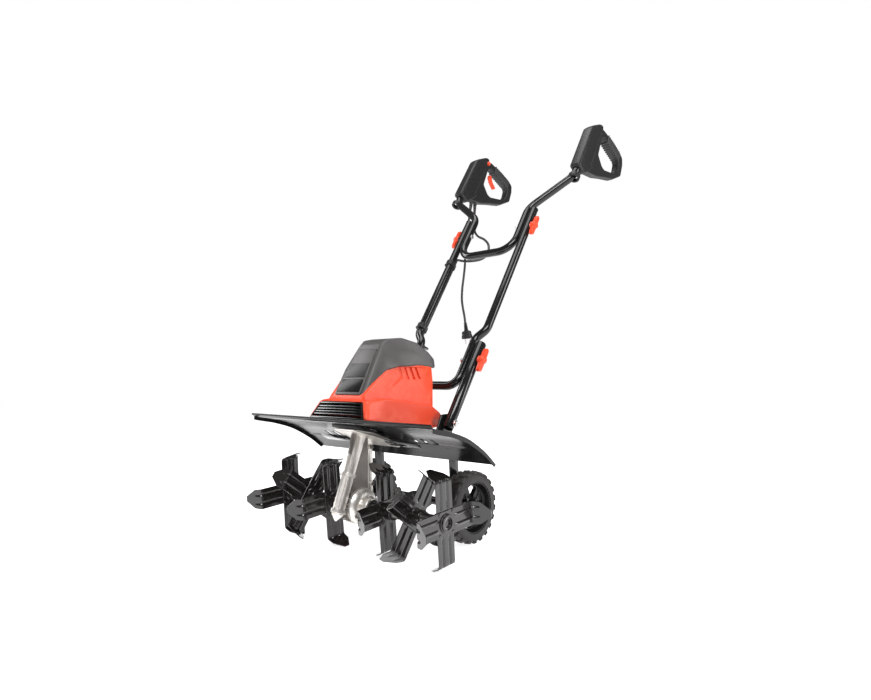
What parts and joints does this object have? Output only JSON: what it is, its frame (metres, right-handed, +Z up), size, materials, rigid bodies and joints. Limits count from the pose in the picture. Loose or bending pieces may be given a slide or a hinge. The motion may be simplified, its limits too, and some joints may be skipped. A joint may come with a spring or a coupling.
{
  "type": "electric garden tiller",
  "caption": "Two-wheeled electric garden tiller with tine stars under a wide deflector, a folding U handle, loop grips, a trigger switch and a hanging mains lead.",
  "frame": {"origin": "middle of the machine at ground level, below the bounding box centre", "axes": "+Z up, +X to the operator's left-hand side facing forwards, -Y forwards (towards the tines); the handle leans back towards +Y"},
  "size_m": [0.5648, 1.0475, 1.082],
  "materials": {
    "red_plastic": "semi-gloss",
    "grey_plastic": "matt",
    "black_plastic": "fine texture",
    "black_gloss_paint": "gloss",
    "tine_paint": "semi-gloss",
    "cast_aluminium": "as cast",
    "steel": "bright",
    "bronze": "satin",
    "rubber": "matt",
    "winding": "lacquered"
  },
  "bodies": {
    "frame": {"motor_housing": "red_plastic", "top_cover": "grey_plastic", "front_grille": "black_plastic", "fender": "black_gloss_paint", "gear_case_left": "cast_aluminium", "gear_case_right": "cast_aluminium", "shaft_bearing_left": "steel", "shaft_bearing_right": "steel", "worm_bearing": "steel", "motor_stator": "winding", "motor_bearing": "steel", "housing_gland": "rubber", "handle_bracket_left": "black_gloss_paint", "handle_bracket_right": "black_gloss_paint", "bracket_beam": "black_gloss_paint", "bracket_bolt_left": "steel", "bracket_bolt_right": "steel", "carrier_pin_left": "steel", "carrier_pin_right": "steel", "lower_tube_left": "black_gloss_paint", "lower_tube_right": "black_gloss_paint", "motor_lead_lower": "rubber"},
    "tines": {"tine_shaft": "steel", "worm_wheel": "bronze", "tine_star_1": "tine_paint", "tine_star_2": "tine_paint", "tine_star_3": "tine_paint", "tine_star_4": "tine_paint", "tine_star_5": "tine_paint", "tine_star_6": "tine_paint", "retaining_pin_left": "steel", "retaining_pin_right": "steel"},
    "rotor": {"armature": "steel", "worm": "steel", "cooling_fan": "black_plastic"},
    "carrier": {"wheel_carrier": "black_gloss_paint", "wheel_axle": "steel"},
    "wheel_left": {"tyre_left": "rubber", "rim_left": "black_plastic"},
    "wheel_right": {"tyre_right": "rubber", "rim_right": "black_plastic"},
    "mid_handle": {"middle_handle": "black_gloss_paint", "lead_clip_upper": "black_plastic", "lead_clip_lower": "black_plastic", "motor_lead_middle": "rubber"},
    "top_handle": {"upper_handle": "black_gloss_paint", "grip_left": "black_plastic", "grip_right": "black_plastic", "mains_gland": "rubber", "motor_gland": "rubber", "mains_lead": "rubber", "mains_plug": "rubber", "motor_lead_upper": "rubber"},
    "trigger": {"switch_trigger": "red_plastic"},
    "button": {"lock_button": "red_plastic"},
    "knob_low_l": {"knob_lower_left": "red_plastic"},
    "knob_low_r": {"knob_lower_right": "red_plastic"},
    "knob_up_l": {"knob_upper_left": "red_plastic"},
    "knob_up_r": {"knob_upper_right": "red_plastic"}
  },
  "joints": [
    {"name": "tine_spin", "type": "hinge", "parent": "frame", "child": "tines", "pos_m": [0, -0.42525, 0.0985], "axis": [1, 0, 0], "continuous": true},
    {"name": "rotor_spin", "type": "hinge", "parent": "frame", "child": "rotor", "pos_m": [0, -0.41175, 0.26], "axis": [0, 0.3354, 0.9421], "continuous": true},
    {"name": "carrier_swing", "type": "hinge", "parent": "frame", "child": "carrier", "pos_m": [0, -0.24525, 0.222], "axis": [1, 0, 0], "range_deg": [0, 60]},
    {"name": "wheel_left_spin", "type": "hinge", "parent": "carrier", "child": "wheel_left", "pos_m": [0.137, -0.24325, 0.07961], "axis": [1, 0, 0], "continuous": true},
    {"name": "wheel_right_spin", "type": "hinge", "parent": "carrier", "child": "wheel_right", "pos_m": [-0.137, -0.24325, 0.07961], "axis": [1, 0, 0], "continuous": true},
    {"name": "mid_fold", "type": "hinge", "parent": "frame", "child": "mid_handle", "pos_m": [0, -0.14356, 0.40196], "axis": [1, 0, 0], "range_deg": [0, 115], "deforming": ["motor_lead_lower"]},
    {"name": "upper_fold", "type": "hinge", "parent": "mid_handle", "child": "top_handle", "pos_m": [0, 0.11659, 0.76003], "axis": [-1, 0, 0], "range_deg": [0, 140], "deforming": ["motor_lead_upper"]},
    {"name": "trigger_pull", "type": "hinge", "parent": "top_handle", "child": "trigger", "pos_m": [-0.206, 0.40075, 1.0235], "axis": [1, 0, 0], "range_deg": [0, 12], "stiffness_Nm_per_rad": 0.8, "springref_deg": -5.73},
    {"name": "lock_press", "type": "slide", "parent": "top_handle", "child": "button", "axis": [-1, 0, 0], "range_m": [0, 0.004], "stiffness_N_per_m": 400, "springref_m": -0.002},
    {"name": "knob_lower_left_turn", "type": "hinge", "parent": "mid_handle", "child": "knob_low_l", "pos_m": [0.113, -0.14356, 0.40196], "axis": [1, 0, 0], "continuous": true},
    {"name": "knob_lower_right_turn", "type": "hinge", "parent": "mid_handle", "child": "knob_low_r", "pos_m": [-0.113, -0.14356, 0.40196], "axis": [1, 0, 0], "continuous": true},
    {"name": "knob_upper_left_turn", "type": "hinge", "parent": "mid_handle", "child": "knob_up_l", "pos_m": [0.113, 0.11659, 0.76003], "axis": [1, 0, 0], "continuous": true},
    {"name": "knob_upper_right_turn", "type": "hinge", "parent": "mid_handle", "child": "knob_up_r", "pos_m": [-0.113, 0.11659, 0.76003], "axis": [1, 0, 0], "continuous": true}
  ],
  "couplings": [
    {"joint": "rotor_spin", "follows": "tine_spin", "ratio": 22}
  ]
}
